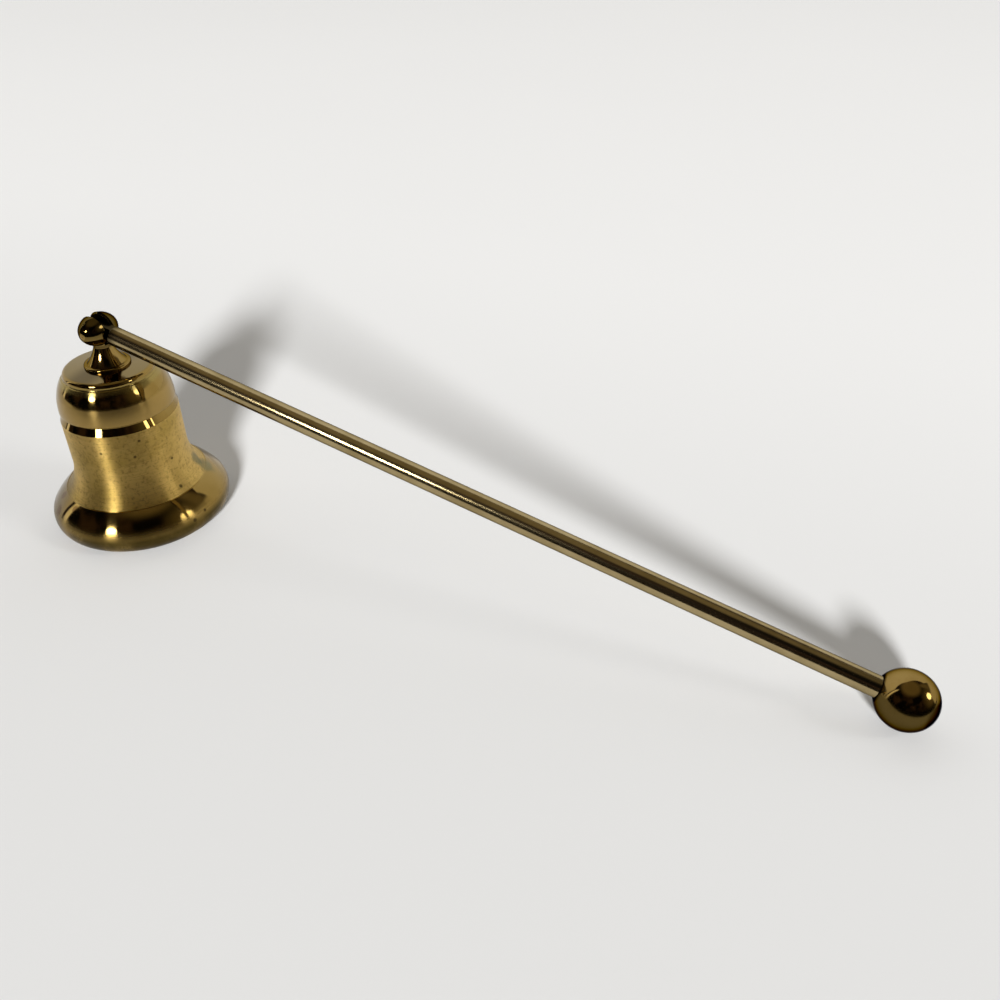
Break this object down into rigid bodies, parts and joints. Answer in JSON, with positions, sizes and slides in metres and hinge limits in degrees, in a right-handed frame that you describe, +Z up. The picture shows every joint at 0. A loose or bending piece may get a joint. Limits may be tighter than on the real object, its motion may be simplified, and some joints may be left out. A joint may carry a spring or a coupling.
{
  "type": "candle snuffer",
  "caption": "Brass candle snuffer: a turned bell that goes over the flame, on a long round handle with a ball end, hinged by a pin in a slotted post.",
  "frame": {"origin": "centre of the bell's mouth, on the surface that the bell stands on", "axes": "+Z up along the bell's axis, +X along the handle towards its end ball, +Y along the hinge pin"},
  "size_m": [0.2225, 0.045, 0.0564],
  "materials": {
    "bell_brass": "satin waist, polished lip and crown",
    "polished_brass": "polished",
    "inner_brass": "dull"
  },
  "bodies": {
    "bell": {"bell": "bell_brass", "hinge_post": "polished_brass", "post_washer": "inner_brass", "post_nut": "inner_brass", "hinge_pin": "polished_brass"},
    "handle": {"handle_rod": "polished_brass", "end_ball": "polished_brass"}
  },
  "joints": [
    {"name": "handle_hinge", "type": "hinge", "parent": "bell", "child": "handle", "pos_m": [0, 0, 0.05265], "axis": [0, -1, 0], "range_deg": [-13.5, 220]}
  ]
}
